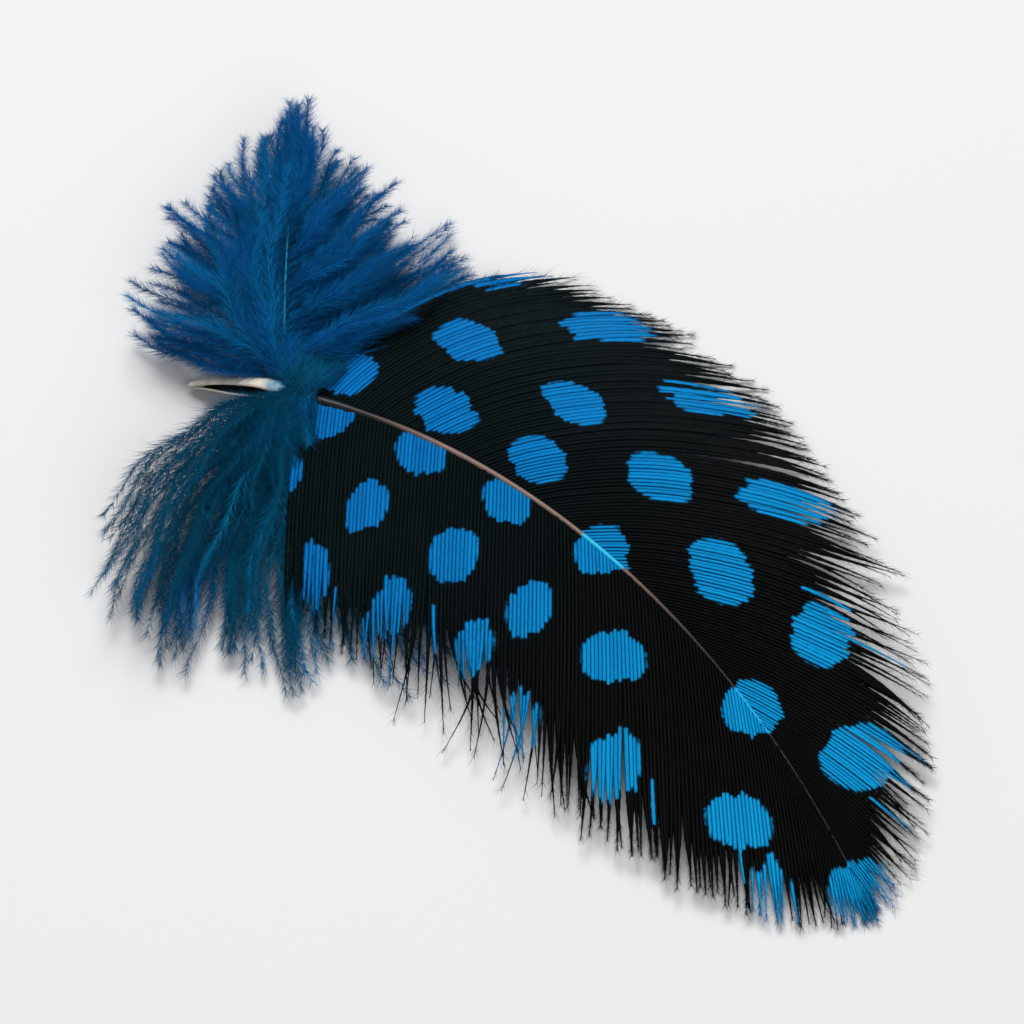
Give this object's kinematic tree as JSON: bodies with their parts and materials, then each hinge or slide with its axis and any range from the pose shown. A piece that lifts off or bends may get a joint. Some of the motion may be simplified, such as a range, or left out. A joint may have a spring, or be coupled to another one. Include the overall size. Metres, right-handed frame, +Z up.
{
  "type": "guinea fowl feather",
  "caption": "Dyed body feather lying flat, outer face up: a spotted vane of fine barbs on a bent shaft, with soft down and an afterfeather at its foot.",
  "frame": {"origin": "centre of the bounding box, on the surface that the feather lies on", "axes": "+Z up from the surface towards the feather's outer face, +X from the quill towards the tip, +Y to the left of the shaft"},
  "size_m": [0.0782, 0.0472, 0.0068],
  "materials": {
    "dyed_feather": "near-black barbs with azure spots, deep blue down and an ivory quill, softly glossy"
  },
  "bodies": {
    "root": {"feather": "dyed_feather"}
  },
  "joints": []
}
